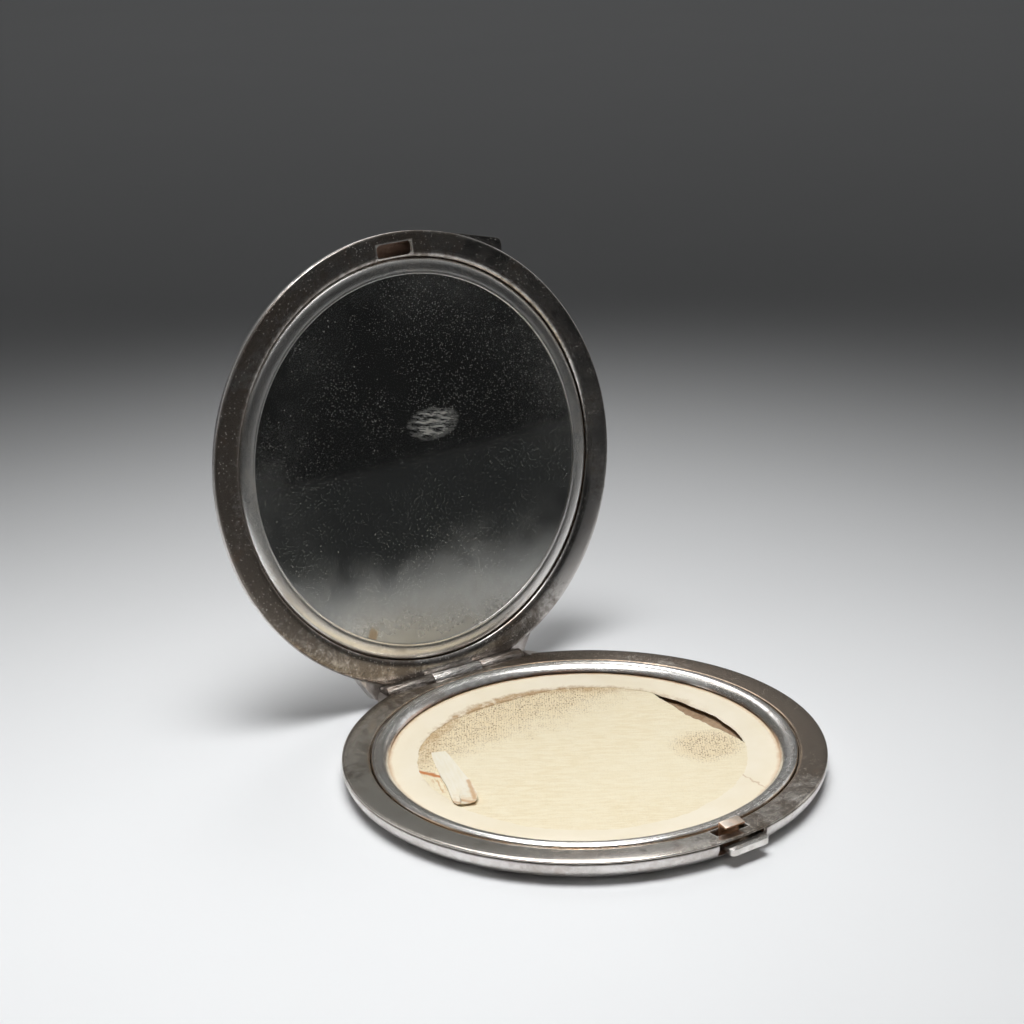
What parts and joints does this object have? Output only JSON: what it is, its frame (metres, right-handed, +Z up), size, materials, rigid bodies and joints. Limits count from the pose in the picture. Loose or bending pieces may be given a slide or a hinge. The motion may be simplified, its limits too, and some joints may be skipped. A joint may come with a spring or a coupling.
{
  "type": "powder compact",
  "caption": "Flat round metal powder compact, open, with a hinged mirror lid, a push catch with a sprung hook, and a net sifter with a ribbon pull over a loose powder well.",
  "frame": {"origin": "centre of the flat face that the base rests on", "axes": "+Z up, +X along the hinge pin, +Y from the push catch towards the hinge"},
  "size_m": [0.08, 0.0998, 0.0805],
  "materials": {
    "shell_silver": "worn silver plate, satin with fine scratches",
    "tarnished_silver": "dark tarnished silver plate with pitting",
    "bright_silver": "polished silver, rubbed bright",
    "hinge_silver": "silver tube, scratched",
    "spring_bronze": "bare copper-coloured spring strip",
    "border_cream": "smooth cream kid, powder stained",
    "gauze_cream": "fine open net, powder stained",
    "ribbon_cream": "narrow silk ribbon",
    "powder": "loose face powder",
    "mirror": "back-silvered glass, hazed",
    "card": "plain packing card"
  },
  "bodies": {
    "base": {"base_shell": "shell_silver", "base_rim_plate": "tarnished_silver", "powder_well": "shell_silver", "loose_powder": "powder", "sifter_ring": "bright_silver", "sifter_border": "border_cream", "sifter_gauze": "gauze_cream", "sifter_clamp_ring": "shell_silver", "ribbon_pull": "ribbon_cream", "base_hinge_knuckle": "hinge_silver", "hinge_pin": "hinge_silver", "catch_spring": "spring_bronze", "spring_post_left": "shell_silver", "spring_post_right": "shell_silver"},
    "catch": {"push_piece": "bright_silver", "catch_hook": "spring_bronze", "catch_rivet_left": "spring_bronze", "catch_rivet_right": "spring_bronze"},
    "lid": {"lid_shell": "shell_silver", "lid_rim_plate": "tarnished_silver", "mirror_bezel": "bright_silver", "mirror_glass": "mirror", "mirror_backing_card": "card", "thumb_tab": "tarnished_silver", "lid_hinge_knuckle_left": "hinge_silver", "lid_hinge_knuckle_right": "hinge_silver"}
  },
  "joints": [
    {"name": "lid_hinge", "type": "hinge", "parent": "base", "child": "lid", "pos_m": [0, 0.03914, 0.00299], "axis": [1, 0, 0], "range_deg": [0, 100.6]},
    {"name": "catch_push", "type": "slide", "parent": "base", "child": "catch", "axis": [0, 1, 0], "range_m": [0, 0.0006], "stiffness_N_per_m": 3000, "springref_m": -0.0005, "deforming": ["catch_spring"]}
  ]
}
